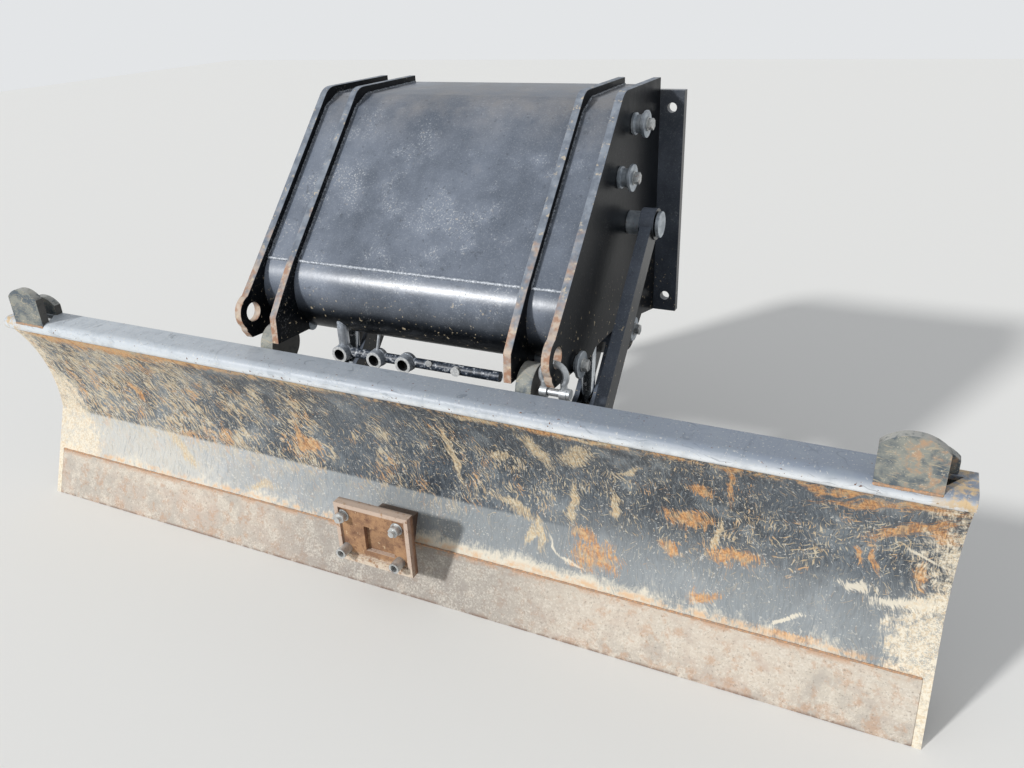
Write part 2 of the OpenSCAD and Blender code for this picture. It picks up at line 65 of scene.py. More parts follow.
class Wire:
    # a node's output; + - and * with it add Math nodes
    def __init__(self, graph, socket):
        self.graph = graph
        self.socket = socket

    def other(self, output):
        # another output of the same node
        return Wire(self.graph, self.socket.node.outputs[output])

    def axes(self):
        apart = self.graph.node("ShaderNodeSeparateXYZ", {}, {0: self})
        return [apart.other(i) for i in range(3)]

    def maths(self, operation, first, second=0.0, clamp=False):
        settings = {"operation": operation, "use_clamp": clamp}
        return self.graph.node("ShaderNodeMath", settings, {0: first, 1: second})

    def __add__(self, other):
        return self.maths("ADD", self, other)

    def __radd__(self, other):
        return self.maths("ADD", other, self)

    def __sub__(self, other):
        return self.maths("SUBTRACT", self, other)

    def __rsub__(self, other):
        return self.maths("SUBTRACT", other, self)

    def __mul__(self, other):
        return self.maths("MULTIPLY", self, other)

    def __rmul__(self, other):
        return self.maths("MULTIPLY", other, self)

    def larger(self, other):
        return self.maths("MAXIMUM", self, other)

    def smaller(self, other):
        return self.maths("MINIMUM", self, other)

    def size(self):
        return self.maths("ABSOLUTE", self)

    def clipped(self):
        return self.maths("ADD", self, 0.0, clamp=True)

    def ramp(self, low, high, start, end):
        settings = {"interpolation_type": "SMOOTHSTEP", "clamp": True}
        values = {"Value": self, "From Min": low, "From Max": high, "To Min": start, "To Max": end}
        return self.graph.node("ShaderNodeMapRange", settings, values)

    def rise(self, low, high, top=1.0):
        # 0 below low, top above high, smooth between
        return self.ramp(low, high, 0.0, top)

    def fall(self, low, high, top=1.0):
        # top below low, 0 above high, smooth between
        return self.ramp(low, high, top, 0.0)


class Graph:
    def __init__(self, tree):
        self.tree = tree

    def feed(self, socket, value):
        if isinstance(value, Wire):
            self.tree.links.new(value.socket, socket)
        else:
            socket.default_value = value

    def node(self, kind, settings, inputs, output=0):
        made = self.tree.nodes.new(kind)
        for key, value in settings.items():
            setattr(made, key, value)
        for key, value in inputs.items():
            self.feed(made.inputs[key], value)
        return Wire(self, made.outputs[output])

    def vectors(self, operation, first, second):
        return self.node("ShaderNodeVectorMath", {"operation": operation}, {0: first, 1: second})


# How patterns are laid: a seed's step, the wandering of strokes, and the edges of marks
paintPlan = {
    "seedStep": (1.7, 0.9, 2.3), "strokeStep": (1.0, 0.3, 1.9), "strokeDepth": 0.4,
    "strokeDetail": 2.0, "strokeRough": 0.6, "wander": 0.06, "wanderDetail": 1.5, "sway": 0.045,
    "dashGain": 0.15, "dashEdge": (0.66, 0.73), "dabDepth": 100.0, "dabEdge": (0.62, 1.22),
    "bump": 0.6,
}


class Paint(Graph):
    def __init__(self, name):
        self.material = bpy.data.materials.new(name)
        self.material.use_nodes = True
        super().__init__(self.material.node_tree)
        self.shader = self.tree.nodes["Principled BSDF"]
        self.point = self.node("ShaderNodeTexCoord", {}, {}, "Object")
        self.facing = self.point.other("Normal").axes()
        self.x, y, z = self.point.axes()
        self.y = y + site["reach"]
        self.z = z + site["stance"]
        self.wavy = None
        self.colour = None

    def noise(self, grain, detail=3.0, rough=0.55, seed=0.0):
        # grain is the size of the pattern in metres
        at = self.point
        if seed:
            at = self.vectors("ADD", at, [seed * step for step in paintPlan["seedStep"]])
        values = {"Vector": at, "Scale": 1.0 / grain, "Detail": detail, "Roughness": rough}
        return self.node("ShaderNodeTexNoise", {}, values)

    def warped(self):
        # coordinates that wander, so that strokes curve
        if self.wavy is None:
            values = {"Vector": self.point, "Scale": 1.0 / paintPlan["wander"],
                      "Detail": paintPlan["wanderDetail"]}
            drift = self.node("ShaderNodeTexNoise", {}, values, "Color")
            centred = self.vectors("SUBTRACT", drift, (0.5, 0.5, 0.5))
            scaled = self.vectors("MULTIPLY", centred, [paintPlan["sway"]] * 3)
            self.wavy = self.vectors("ADD", self.point, scaled)
        return self.wavy

    def laid(self, where, turn, scale):
        # coordinates of a stroke or mark in the plane of x and z, turned in degrees
        values = {"Vector": self.warped(), "Location": where,
                  "Rotation": (0.0, math.radians(turn), 0.0), "Scale": scale}
        return self.node("ShaderNodeMapping", {"vector_type": "TEXTURE"}, values)

    def grained(self, length, width, turn, seed):
        # noise stretched into strokes
        where = [seed * step for step in paintPlan["strokeStep"]]
        at = self.laid(where, turn, (length, paintPlan["strokeDepth"], width))
        values = {"Vector": at, "Scale": 1.0, "Detail": paintPlan["strokeDetail"],
                  "Roughness": paintPlan["strokeRough"]}
        return self.node("ShaderNodeTexNoise", {}, values)

    def dashes(self, length, width, turn, seed, density):
        # short marks; density, 0 to 1, says how many
        grain = self.grained(length, width, turn, seed)
        return (grain + density * paintPlan["dashGain"]).rise(*paintPlan["dashEdge"])

    def dabs(self, rows, ragged):
        # patches at given places, each with the edge that ragged gives it
        nearest = None
        for x, z, length, width, turn in rows:
            at = self.laid((x, 0.0, z - site["stance"]), turn,
                           (length, paintPlan["dabDepth"], width))
            far = self.node("ShaderNodeVectorMath", {"operation": "LENGTH"}, {0: at}, "Value")
            nearest = nearest.smaller(far) if nearest else far
        return (nearest + ragged).fall(*paintPlan["dabEdge"])

    def mix(self, share, first, second):
        first = linear(first) if isinstance(first, str) else first
        second = linear(second) if isinstance(second, str) else second
        values = {0: share, 6: first, 7: second}
        return self.node("ShaderNodeMix", {"data_type": "RGBA"}, values, 2)

    def coat(self, share, tone):
        # lays a tone over the colour so far
        self.colour = self.mix(share, self.colour, tone)

    def finish(self, rough, metal, height, depth):
        values = {"Strength": paintPlan["bump"], "Distance": depth, "Height": height}
        self.feed(self.shader.inputs["Base Color"], self.colour)
        self.feed(self.shader.inputs["Roughness"], rough)
        self.feed(self.shader.inputs["Metallic"], metal)
        self.feed(self.shader.inputs["Normal"], self.node("ShaderNodeBump", {}, values))
        return self.material


# Finishes: patterns are size, detail, roughness and seed; strokes are length, width, turn
# in degrees and seed

# Main marks on the blade's front: x, z, half length, half width and turn of each
bladeMarks = {
    "orange": [
        (0.544, 0.209, 0.055, 0.032, -4), (0.510, 0.257, 0.036, 0.015, 18),
        (0.752, 0.361, 0.052, 0.024, -4), (0.719, 0.273, 0.028, 0.013, 19),
        (0.857, 0.284, 0.053, 0.021, -5), (0.846, 0.494, 0.050, 0.008, 85),
        (0.854, 0.545, 0.024, 0.009, -31), (0.782, 0.452, 0.026, 0.020, 4),
        (0.438, 0.552, 0.055, 0.014, 8), (0.718, 0.552, 0.030, 0.012, 0),
        (0.808, 0.188, 0.036, 0.011, -17), (1.008, 0.535, 0.023, 0.012, 30),
        (1.064, 0.545, 0.041, 0.011, -25), (1.108, 0.522, 0.085, 0.012, -14),
        (1.215, 0.540, 0.055, 0.015, -2), (1.186, 0.468, 0.087, 0.015, -30),
        (1.244, 0.463, 0.029, 0.019, 52), (1.098, 0.365, 0.023, 0.007, 68),
        (1.132, 0.362, 0.037, 0.007, 69), (1.222, 0.347, 0.033, 0.012, 81),
        (0.993, 0.150, 0.063, 0.010, -1), (-0.907, 0.388, 0.039, 0.013, 40),
        (-0.311, 0.343, 0.048, 0.014, 80), (-0.272, 0.327, 0.033, 0.021, -7),
        (-1.100, 0.548, 0.140, 0.016, 4), (-0.900, 0.542, 0.160, 0.020, 6),
        (-0.600, 0.550, 0.170, 0.012, -3)],
    "tan": [
        (0.175, 0.405, 0.087, 0.009, 82), (0.301, 0.431, 0.024, 0.013, -30),
        (0.334, 0.282, 0.062, 0.015, 22), (0.397, 0.228, 0.042, 0.012, 83),
        (0.378, 0.223, 0.032, 0.009, 107), (0.480, 0.321, 0.063, 0.009, 96),
        (0.586, 0.356, 0.037, 0.013, 94), (0.622, 0.469, 0.036, 0.007, -36),
        (0.270, 0.550, 0.060, 0.010, 0), (0.557, 0.548, 0.078, 0.008, 0),
        (0.409, 0.476, 0.054, 0.022, 56), (0.504, 0.483, 0.051, 0.022, -35),
        (0.819, 0.326, 0.047, 0.006, 104), (-0.748, 0.219, 0.079, 0.013, 32),
        (-0.448, 0.175, 0.049, 0.014, -14), (-0.250, 0.552, 0.150, 0.007, 2)],
    "cream": [
        (1.108, 0.282, 0.034, 0.014, 4), (1.206, 0.274, 0.068, 0.015, -15),
        (0.977, 0.181, 0.042, 0.004, -33), (1.213, 0.399, 0.048, 0.004, 20),
        (0.435, 0.217, 0.033, 0.004, 43), (0.489, 0.187, 0.031, 0.004, 14)],
}
bladeLook = {
    "dark": "363c43", "slate": "505860", "bloom": "7f868a", "flat": "8c9193",
    "flatPale": "b7babb", "milk": "d2cfc6", "rust": "b27c4c", "orange": "d6a269",
    "tan": "cab089", "straw": "d6c8ab", "cream": "e9dfca", "hairPale": "9aa3a8",
    "hairDark": "2e343b", "smear": "6f767a", "pit": "2c3035", "back": "2b2f34",
    "backPale": "454a4e",
}
# brow is a painted highlight on the lip's rounded front; top is the slate of its top face
lipLook = {"brow": "e2e5e7", "top": "7d8693", "bright": "cfd5d9", "cloud": "8f979e",
           "scratch": "5c656f", "spot": "6a4a38"}
bladeGrain = {
    "cloud": (0.30, 3.0), "patch": (0.10, 4.0, 0.6, 3.0), "blot": (0.020, 4.0, 0.68, 9.0),
    "fine": (0.006, 2.0, 0.6, 1.0), "grit": (0.0026, 2.0, 0.6, 5.0),
    "field": (0.14, 3.0, 0.6, 11.0), "tint": (0.05, 3.0, 0.6, 14.0),
    "pits": (0.008, 2.0, 0.6, 17.0), "lipCloud": (0.05, 4.0, 0.65, 6.0),
    "lipSpots": (0.008, 2.0, 0.6, 8.0),
}
bladeStroke = {
    "hair": (0.022, 0.0028, 84.0, 12.4), "wipe": (0.045, 0.0045, 86.0, 9.1),
    "smear": (0.05, 0.006, 88.0, 4.4), "slanting": (0.036, 0.0048, 38.0, 2.3),
    "steep": (0.028, 0.0038, 62.0, 6.1), "upright": (0.024, 0.0032, 88.0, 7.7),
    "falling": (0.036, 0.0036, -24.0, 5.2), "torn": (0.028, 0.0034, 72.0, 3.9),
    "tornLevel": (0.04, 0.0034, -22.0, 6.6), "lipScratch": (0.05, 0.004, 2.0, 8.3),
}
bladeSize = {"half": 1.257, "crease": 0.26, "edge": 0.135, "lip": 0.562}  # metres


def layPaint(p):
    # worn paint, paler on the flat lower part and wiped into upright hairs
    look, stroke, crease = bladeLook, bladeStroke, bladeSize["crease"]
    bloom = (p.patch + p.left * 0.12).rise(0.5, 0.72, 0.75)
    p.coat(bloom, look["bloom"])
    # the crease over the flat part is sharp on the left and soft on the right
    flat = p.z.fall(crease - 0.004, crease + 0.004) * (1.0 - p.right)
    p.flat = flat + p.z.fall(0.19, 0.38) * p.right
    paler = (p.x.fall(-0.9, 0.3) + p.patch - 0.5).clipped()
    flatTone = p.mix(paler, look["flat"], look["flatPale"])
    milk = ((crease - p.z) * 4.0 + p.left * 0.9 + p.blot - 0.9).rise(0.2, 0.7)
    flatTone = p.mix(milk * 0.75, flatTone, look["milk"])
    p.coat(p.flat * 0.92, flatTone)
    p.hair = p.grained(*stroke["hair"])
    p.coat(p.hair.rise(0.48, 0.74) * 0.34, look["hairPale"])
    p.coat(p.hair.fall(0.30, 0.46) * (0.45 - p.flat * 0.3), look["hairDark"])
    p.coat(p.dashes(*stroke["wipe"], 0.6) * 0.35, look["bloom"])
    p.coat(p.dashes(*stroke["smear"], 0.5) * p.flat * 0.3, look["smear"])


def layClay(p):
    # dried clay in short marks, slanting and thick at the left, upright at the right
    look, grain, stroke = bladeLook, bladeGrain, bladeStroke
    field = p.noise(*grain["field"]).rise(0.40, 0.62) * (0.9 - p.right * 0.35)
    thick = (p.left * 0.7 + field).clipped()
    upper = p.z.rise(0.2, 0.3) * 0.8 + 0.2
    clay = p.dashes(*stroke["slanting"], thick * p.x.fall(-0.3, 0.4))
    clay = clay.larger(p.dashes(*stroke["steep"], thick * p.x.fall(0.1, 0.7)))
    clay = clay.larger(p.dashes(*stroke["upright"], thick * p.x.rise(-0.1, 0.5)))
    p.clay = clay.larger(p.dashes(*stroke["falling"], thick * p.x.rise(0.5, 1.1)))
    clayTone = p.mix(p.blot.rise(0.42, 0.6), look["straw"], look["tan"])
    tint = p.noise(*grain["tint"]).rise(0.52, 0.64)
    clayTone = p.mix(tint * 0.8, clayTone, look["orange"])
    p.coat(p.clay * upper * 0.78, clayTone)
    # specks of dry mud, pale dots and dark pits
    p.specks = (p.fine + thick * 0.05).rise(0.64, 0.70)
    p.coat(p.specks * 0.65, look["milk"])
    p.coat(p.grit.rise(0.68, 0.74) * 0.8, look["cream"])
    p.pits = p.noise(*grain["pits"]).rise(0.66, 0.72) * p.z.rise(0.26, 0.34)
    p.coat(p.pits * 0.6, look["pit"])


def layMarks(p):
    # the marks of the table; those high up on the right run nearly level
    look, stroke = bladeLook, bladeStroke
    level = p.x.rise(0.92, 1.02) * p.z.rise(0.40, 0.46)
    torn = p.grained(*stroke["torn"]) * (1.0 - level)
    torn = torn + p.grained(*stroke["tornLevel"]) * level
    ragged = (torn - 0.5) * 2.6 + (p.blot - 0.5) * 1.5
    p.orange = p.dabs(bladeMarks["orange"], ragged)
    p.tan = p.dabs(bladeMarks["tan"], ragged)
    cream = p.dabs(bladeMarks["cream"], ragged)
    p.coat(cream * 0.75, look["cream"])
    broken = p.hair.rise(0.36, 0.58) * 0.55 + 0.45
    tanTone = p.mix(p.fine.rise(0.4, 0.6), look["tan"], look["straw"])
    p.coat(p.tan * broken * 0.85, tanTone)
    orangeTone = p.mix(p.fine.rise(0.36, 0.6), look["rust"], look["orange"])
    orangeTone = p.mix(p.blot.rise(0.46, 0.62) * 0.7, orangeTone, look["tan"])
    p.coat(p.orange * broken * 0.92, orangeTone)
    # a broken band of clay just under the lip
    band = p.z.rise(0.528, 0.550) * p.z.fall(0.560, 0.567)
    band = band * (p.blot + p.left * 0.05).rise(0.47, 0.60)
    bandTone = p.mix(p.fine.rise(0.4, 0.6), look["tan"], look["orange"])
    p.coat(band * 0.8, bandTone)


def layScrapes(p):
    # scraped pale over the cutting edge's seam, and at the ends, wider low down
    look, size = bladeLook, bladeSize
    centre = (p.x - 0.35).size().fall(0.1, 0.6)
    scraped = p.z.fall(0.125, 0.20) * (0.7 + centre * 0.4) + (p.patch - 0.5) * 1.2
    p.scraped = (scraped + (p.blot - 0.5) * 1.2 + (p.hair - 0.5) * 0.6).rise(0.3, 0.85)
    p.coat(p.scraped * 0.75, look["cream"])
    seam = (p.z - size["edge"] - 0.010).size().fall(0.0, 0.014)
    seam = seam * (p.blot + p.right * 0.05).rise(0.44, 0.66)
    p.coat(seam * 0.6, look["orange"])
    fromEnd = size["half"] - p.x.size()
    reach = fromEnd - p.z.fall(0.12, 0.46) * (0.06 + p.x.fall(-1.0, 1.0) * 0.10)
    bare = reach - (p.blot - 0.5) * 0.2 - (p.patch - 0.5) * 0.16 - (p.hair - 0.5) * 0.12
    bare = bare.fall(-0.02, 0.04) * p.z.fall(0.565, 0.60)
    p.bare = bare * (0.35 + (p.blot + p.grit - 0.5).rise(0.32, 0.56) * 0.6)
    bareTone = p.mix(p.fine.rise(0.42, 0.66) * 0.7, look["cream"], look["tan"])
    p.coat(p.bare * 0.9, bareTone)


def layLip(p):
    # painted highlight on the rounded brow, slate top with scratches, brown and white spots
    look, grain, low = lipLook, bladeGrain, bladeSize["lip"]
    # the rounded front is painted pale as a painted highlight, the top stays slate
    tone = p.mix(p.z.rise(0.574, 0.598), look["brow"], look["top"])
    tone = p.mix(p.x.fall(-1.2, 1.2) * 0.75, tone, look["bright"])
    tone = p.mix(p.noise(*grain["lipCloud"]).rise(0.45, 0.7) * 0.4, tone, look["cloud"])
    tone = p.mix(p.dashes(*bladeStroke["lipScratch"], 0.3) * 0.4, tone, look["scratch"])
    tone = p.mix(p.noise(*grain["lipSpots"]).rise(0.68, 0.72), tone, look["spot"])
    tone = p.mix(p.specks * 0.5, tone, bladeLook["milk"])
    ends = p.x.size().rise(1.16, 1.26) * p.blot.rise(0.42, 0.6)
    tone = p.mix(ends, tone, bladeLook["tan"])
    p.coat(p.z.rise(low, low + 0.008), tone)


def makeBladeFinish():
    look, grain = bladeLook, bladeGrain
    p = Paint("bladeFinish")
    cloud = p.noise(*grain["cloud"])
    p.patch = p.noise(*grain["patch"])
    p.blot = p.noise(*grain["blot"])
    p.fine = p.noise(*grain["fine"])
    p.grit = p.noise(*grain["grit"])
    p.left = p.x.fall(-0.9, -0.2)
    p.right = p.x.rise(0.25, 0.6)
    p.colour = p.mix(cloud.rise(0.38, 0.62), look["dark"], look["slate"])
    for lay in (layPaint, layClay, layMarks, layScrapes, layLip):
        lay(p)
    # the back keeps dull paint
    backTone = p.mix(p.patch.rise(0.4, 0.7), look["back"], look["backPale"])
    backTone = p.mix(p.fine.rise(0.64, 0.70) * 0.5, backTone, look["tan"])
    p.coat(1.0 - p.facing[1].fall(0.15, 0.5), backTone)
    worn = (p.orange + p.tan + p.clay + p.bare + p.scraped).clipped()
    rough = 0.42 + worn * 0.3 + p.flat * 0.06
    height = p.fine * 0.4 + p.grit * 0.3 + p.blot * 0.4 - p.pits * 0.4
    return p.finish(rough.clipped(), 0.0, height, 0.0009)


edgeLook = {
    "steel": "b1a99e", "pink": "bfae9f", "cream": "ccc2b2", "grey": "8a8782", "rust": "b58b69",
    "pit": "7c7166", "pale": "ddd6ca", "foot": "6e5444", "back": "4b463f",
}
edgeGrain = {
    "cloud": (0.16, 4.0, 0.6), "patch": (0.05, 5.0, 0.7, 4.0), "fine": (0.005, 3.0, 0.65, 2.0),
    "rust": (0.03, 5.0, 0.7, 9.0), "pits": (0.006, 3.0, 0.7, 7.0), "foot": (0.03, 3.0, 0.6, 3.0),
    "streak": (0.06, 0.006, 3.0, 1.1),
}


def makeEdgeFinish():
    look, grain = edgeLook, edgeGrain
    p = Paint("cuttingEdgeFinish")
    cloud = p.noise(*grain["cloud"])
    patch = p.noise(*grain["patch"])
    fine = p.noise(*grain["fine"])
    front = p.facing[1].fall(-0.2, 0.3)
    p.colour = p.mix(cloud.rise(0.36, 0.64), look["steel"], look["pink"])
    cream = (patch + p.z * 1.2 + p.x.rise(-0.1, 0.5) * 0.1).rise(0.5, 0.74)
    p.coat(cream * 0.75, look["cream"])
    rust = (p.noise(*grain["rust"]) + p.z.fall(0.0, 0.04, 0.06)).rise(0.50, 0.66)
    p.coat(rust * 0.5, look["rust"])
    middle = (p.x - 0.02).size().fall(0.15, 0.6)
    p.coat(middle * (cloud.rise(0.3, 0.6) * 0.4 + 0.35), look["grey"])
    streak = p.grained(*grain["streak"]).rise(0.45, 0.7)
    p.coat(streak * 0.3, look["steel"])
    p.coat((fine * 0.6 + patch * 0.4).rise(0.48, 0.62) * 0.5, look["pale"])
    p.coat(p.noise(*grain["pits"]).rise(0.56, 0.7) * 0.55, look["pit"])
    # rust along the seam above and the worn foot below
    seam = p.z.rise(0.118, 0.132) * patch.rise(0.42, 0.56)
    p.coat(seam * 0.7, look["rust"])
    foot = p.z.fall(0.0, 0.010) * p.noise(*grain["foot"]).rise(0.42, 0.55)
    p.coat(foot * 0.8, look["foot"])
    p.colour = p.mix(front, look["back"], p.colour)
    return p.finish(0.62 + patch * 0.2, 0.06, fine * 0.5 + patch * 0.7, 0.0012)


# sheen and pale are the tones of a painted sheen on faces that look up or to the front; paint is
# the black paint
bracketLook = {
    "paint": "0e1115", "sheen": "4f5763", "pale": "79818e", "dust": "85807a", "speck": "b9bbbb",
    "grime": "30363e", "brushed": "8b929b", "cream": "d8c6a6",
}
sawnLook = {"steel": "6b727c", "bright": "8b929b", "tan": "cdb9a4", "rust": "9a6645",
            "gloss": 0.10}
bracketGrain = {
    "cloud": (0.30, 4.0), "patch": (0.09, 5.0, 0.65, 6.0), "speck": (0.0045, 2.0, 0.6, 2.0),
    "fleck": (0.011, 2.0, 0.6, 9.0), "scuffs": (0.12, 4.0, 0.6, 13.0),
    "grime": (0.015, 3.0, 0.6, 23.0), "brushed": (0.004, 3.0, 0.7, 31.0),
    "sawn": (0.03, 4.0, 0.6, 21.0), "low": (0.05, 3.0, 0.6, 19.0),
    "rust": (0.02, 3.0, 0.6, 29.0), "chips": (0.014, 3.0, 0.6, 17.0),
    "swell": (0.05, 2.0, 0.5, 1.0),
}
bracketStroke = {"rising": (0.02, 0.0022, 40.0, 5.3), "falling": (0.018, 0.002, -52.0, 2.9)}


def makeBracketFinish(name, edges=False):
    look, grain, stroke = bracketLook, bracketGrain, bracketStroke
    p = Paint(name)
    cloud = p.noise(*grain["cloud"])
    patch = p.noise(*grain["patch"])
    speck = p.noise(*grain["speck"])
    fleck = p.noise(*grain["fleck"])
    # scuffed spots, mostly low down on the left
    scuffed = p.noise(*grain["scuffs"]) - p.x * 0.16 - (p.z - 0.93).size() * 0.5
    scuffed = scuffed.rise(0.42, 0.62)
    # painted sheen: faces that look up or to the front are painted pale as a painted reflection,
    # faces that look down or sideways keep the black paint
    upward = (p.facing[2] * 0.9 - p.facing[1] * 0.5 + (patch - 0.5) * 0.25).rise(0.05, 0.85)
    # worn sets how pale the painted sheen is: paler in patches and scuffs, less pale to the right
    # and at the very top
    worn = cloud * 0.4 + patch * 0.3 + scuffed * 0.08 - p.x * 0.12 - p.z.rise(0.95, 1.15, 0.05)
    paintedSheen = p.mix((worn + 0.15).rise(0.36, 0.66), look["sheen"], look["pale"])
    p.colour = p.mix(upward * 0.95, look["paint"], paintedSheen)
    dust = (p.z.rise(1.04, 1.18) * patch.rise(0.3, 0.7) + patch.rise(0.6, 0.8, 0.4)).clipped()
    p.coat(dust * upward * 0.5, look["dust"])
    specks = (speck + scuffed * 0.04).rise(0.61, 0.68) * (scuffed * 0.75 + 0.25)
    specks = specks * (upward * 0.7 + 0.3)
    flecks = fleck.rise(0.66, 0.71) * (p.z.fall(0.66, 0.80) * 0.9 + scuffed * 0.3).clipped()
    scratch = p.dashes(*stroke["rising"], 0.1).larger(p.dashes(*stroke["falling"], 0.1))
    scratch = scratch * scuffed * upward
    p.coat(specks * 0.7, look["speck"])
    p.coat(scratch * 0.45, look["speck"])
    p.coat(flecks * 0.8, look["cream"])
    grime = p.noise(*grain["grime"]).rise(0.62, 0.7) * upward
    p.coat(grime * 0.4, look["grime"])
    brushed = p.noise(*grain["brushed"])
    p.coat(brushed.rise(0.5, 0.7) * upward * 0.3, look["brushed"])
    bald = specks
    if edges:
        # the sawn edges are worn to grey steel, tan and rusty towards the ears
        side = p.facing[0].size().fall(0.45, 0.8)
        tone = p.mix(p.noise(*grain["sawn"]).rise(0.35, 0.68), sawnLook["steel"],
                     sawnLook["bright"])
        low = (0.84 - p.z + (p.noise(*grain["low"]) - 0.5) * 0.6).rise(-0.04, 0.16)
        tone = p.mix(low * 0.85, tone, sawnLook["tan"])
        rust = low * p.noise(*grain["rust"]).rise(0.42, 0.62)
        tone = p.mix(rust * 0.75, tone, sawnLook["rust"])
        tone = p.mix(p.noise(*grain["chips"]).rise(0.58, 0.7) * 0.6, tone, look["cream"])
        p.coat(side * 0.94, tone)
        bald = (bald + side * 0.8).clipped()
        p.shader.inputs["Specular IOR Level"].default_value = sawnLook["gloss"]
    rough = 0.27 + cloud * 0.06 + bald * 0.2 + dust * 0.15
    height = speck * 0.2 + fleck * 0.25 + p.noise(*grain["swell"]) * 1.2
    return p.finish(rough.clipped(), 0.0, height, 0.0007)


# Tow bracket's front plate: middle, half width and half height
towPlate = {"x": 0.007, "z": 0.196, "wide": 0.108, "high": 0.086}
# sides and behind are painted shade: sides on the faces that look sideways, behind on all that
# lies behind the front plate
towLook = {
    "rust": "83624a", "pale": "a8825f", "deep": "664534", "grit": "c89a70", "rim": "c6b3a3",
    "mud": "d3c6b2", "chips": "dfc7a2", "sides": "6a4636", "behind": "3a2f2a",
}
towGrain = {"cloud": (0.045, 5.0, 0.7), "blot": (0.015, 4.0, 0.7, 6.0),
            "fine": (0.003, 3.0, 0.6, 3.0), "chips": (0.010, 3.0, 0.6, 8.0)}


def makeTowFinish():
    look, grain = towLook, towGrain
    p = Paint("towBracketRust")
    cloud = p.noise(*grain["cloud"])
    blot = p.noise(*grain["blot"])
    fine = p.noise(*grain["fine"])
    p.colour = p.mix(cloud.rise(0.38, 0.62), look["rust"], look["pale"])
    p.coat(blot.rise(0.54, 0.66) * 0.7, look["deep"])
    p.coat(fine.rise(0.56, 0.7) * 0.5, look["grit"])
    # the plate's rim is rubbed bare, and mud dries on its foot
    across = (p.x - towPlate["x"]).size() - towPlate["wide"]
    above = (p.z - towPlate["z"]).size() - towPlate["high"]
    rim = across.larger(above).rise(-0.016, -0.009) * p.y.fall(-0.04, -0.03)
    rim = (rim + p.facing[2].rise(0.4, 0.8)).clipped() * blot.rise(0.3, 0.46)
    p.coat(rim * 0.85, look["rim"])
    foot = p.z.fall(0.128, 0.142) * p.y.fall(-0.04, -0.03) * (blot + fine - 0.5).rise(0.36, 0.56)
    p.coat(foot * 0.85, look["mud"])
    p.coat(p.noise(*grain["chips"]).rise(0.66, 0.72) * 0.7, look["chips"])
    # painted shade: the side faces are painted darker
    p.coat(p.facing[0].size().rise(0.5, 0.8) * 0.5, look["sides"])
    # painted shade: all that lies behind the front plate is painted dark
    p.coat(p.y.rise(-0.035, -0.015) * 0.8, look["behind"])
    return p.finish(0.78 + fine * 0.15, 0.0, fine + cloud * 1.5, 0.0009)


steelLook = {"stain": "7d4a2b", "speck": "d6d6d2"}
steelGrain = {"cloud": (0.03, 4.0, 0.6), "fine": (0.003, 3.0, 0.6, 3.0),
              "stain": (0.014, 4.0, 0.7, 6.0)}


def makeSteel(name, dark, pale, rust, rough, metal):
    look, grain = steelLook, steelGrain
    p = Paint(name)
    cloud = p.noise(*grain["cloud"])
    fine = p.noise(*grain["fine"])
    p.colour = p.mix(cloud.rise(0.35, 0.65), dark, pale)
    stain = p.noise(*grain["stain"]).rise(0.58, 0.68)
    p.coat(stain * rust, look["stain"])
    p.coat(fine.rise(0.64, 0.72) * 0.5, look["speck"])
    return p.finish(rough + stain * 0.3, metal, fine * 0.6 + cloud, 0.0004)


# Ports: middles of the rings, height of their row and the face that they open in
portPlan = {"rings": (-0.205, -0.098, -0.011), "z": 0.570, "front": 0.1848}
# inside is painted shade, nearly black, in the bores
portLook = {"paint": "1f2630", "worn": "4a5361", "chips": "c8cbcd", "steel": "8b929b",
            "bright": "b6bcc3", "inside": "07090b"}
portGrain = {"blot": (0.012, 4.0, 0.68), "fine": (0.003, 3.0, 0.6, 3.0)}


def makePortFinish():
    look, grain = portLook, portGrain
    p = Paint("portFinish")
    blot = p.noise(*grain["blot"])
    fine = p.noise(*grain["fine"])
    p.colour = p.mix(blot.rise(0.40, 0.6), look["paint"], look["worn"])
    p.coat(blot.rise(0.56, 0.62) * 0.8, look["chips"])
    ringed = None
    for x in portPlan["rings"]:
        near = (p.x - x).size().fall(0.022, 0.026)
        ringed = ringed.larger(near) if ringed else near
    ringTone = p.mix(fine.rise(0.4, 0.6), look["steel"], look["bright"])
    p.coat(ringed * 0.9, ringTone)
    # painted shade inside the bores, nearly black: the least squared distance from a ring's middle
    inside = None
    for x in portPlan["rings"]:
        off = p.z - portPlan["z"]
        spread = (p.x - x) * (p.x - x) + off * off
        inside = inside.smaller(spread) if inside else spread
    # the port face inside each ring gets the painted shade
    bore = inside.fall(0.00022, 0.00025) * p.y.fall(0.206, 0.208)
    p.coat(bore, look["inside"])
    return p.finish(0.42, 0.0, fine, 0.0004)


# brow is a painted highlight on the rim, shade a painted shade on faces that look back or sideways
lugLook = {"paint": "4f5a62", "dusty": "8c8d84", "scrape": "b3a68c", "rust": "bd9068",
           "speck": "cfc6b2", "brow": "a9a8a2", "shade": "33302e"}
lugGrain = {"cloud": (0.05, 4.0, 0.65), "blot": (0.014, 4.0, 0.65, 7.0),
            "fine": (0.004, 3.0, 0.6, 3.0)}
lugStroke = {"level": (0.03, 0.0034, 6.0, 2.1), "falling": (0.024, 0.003, -30.0, 5.1)}


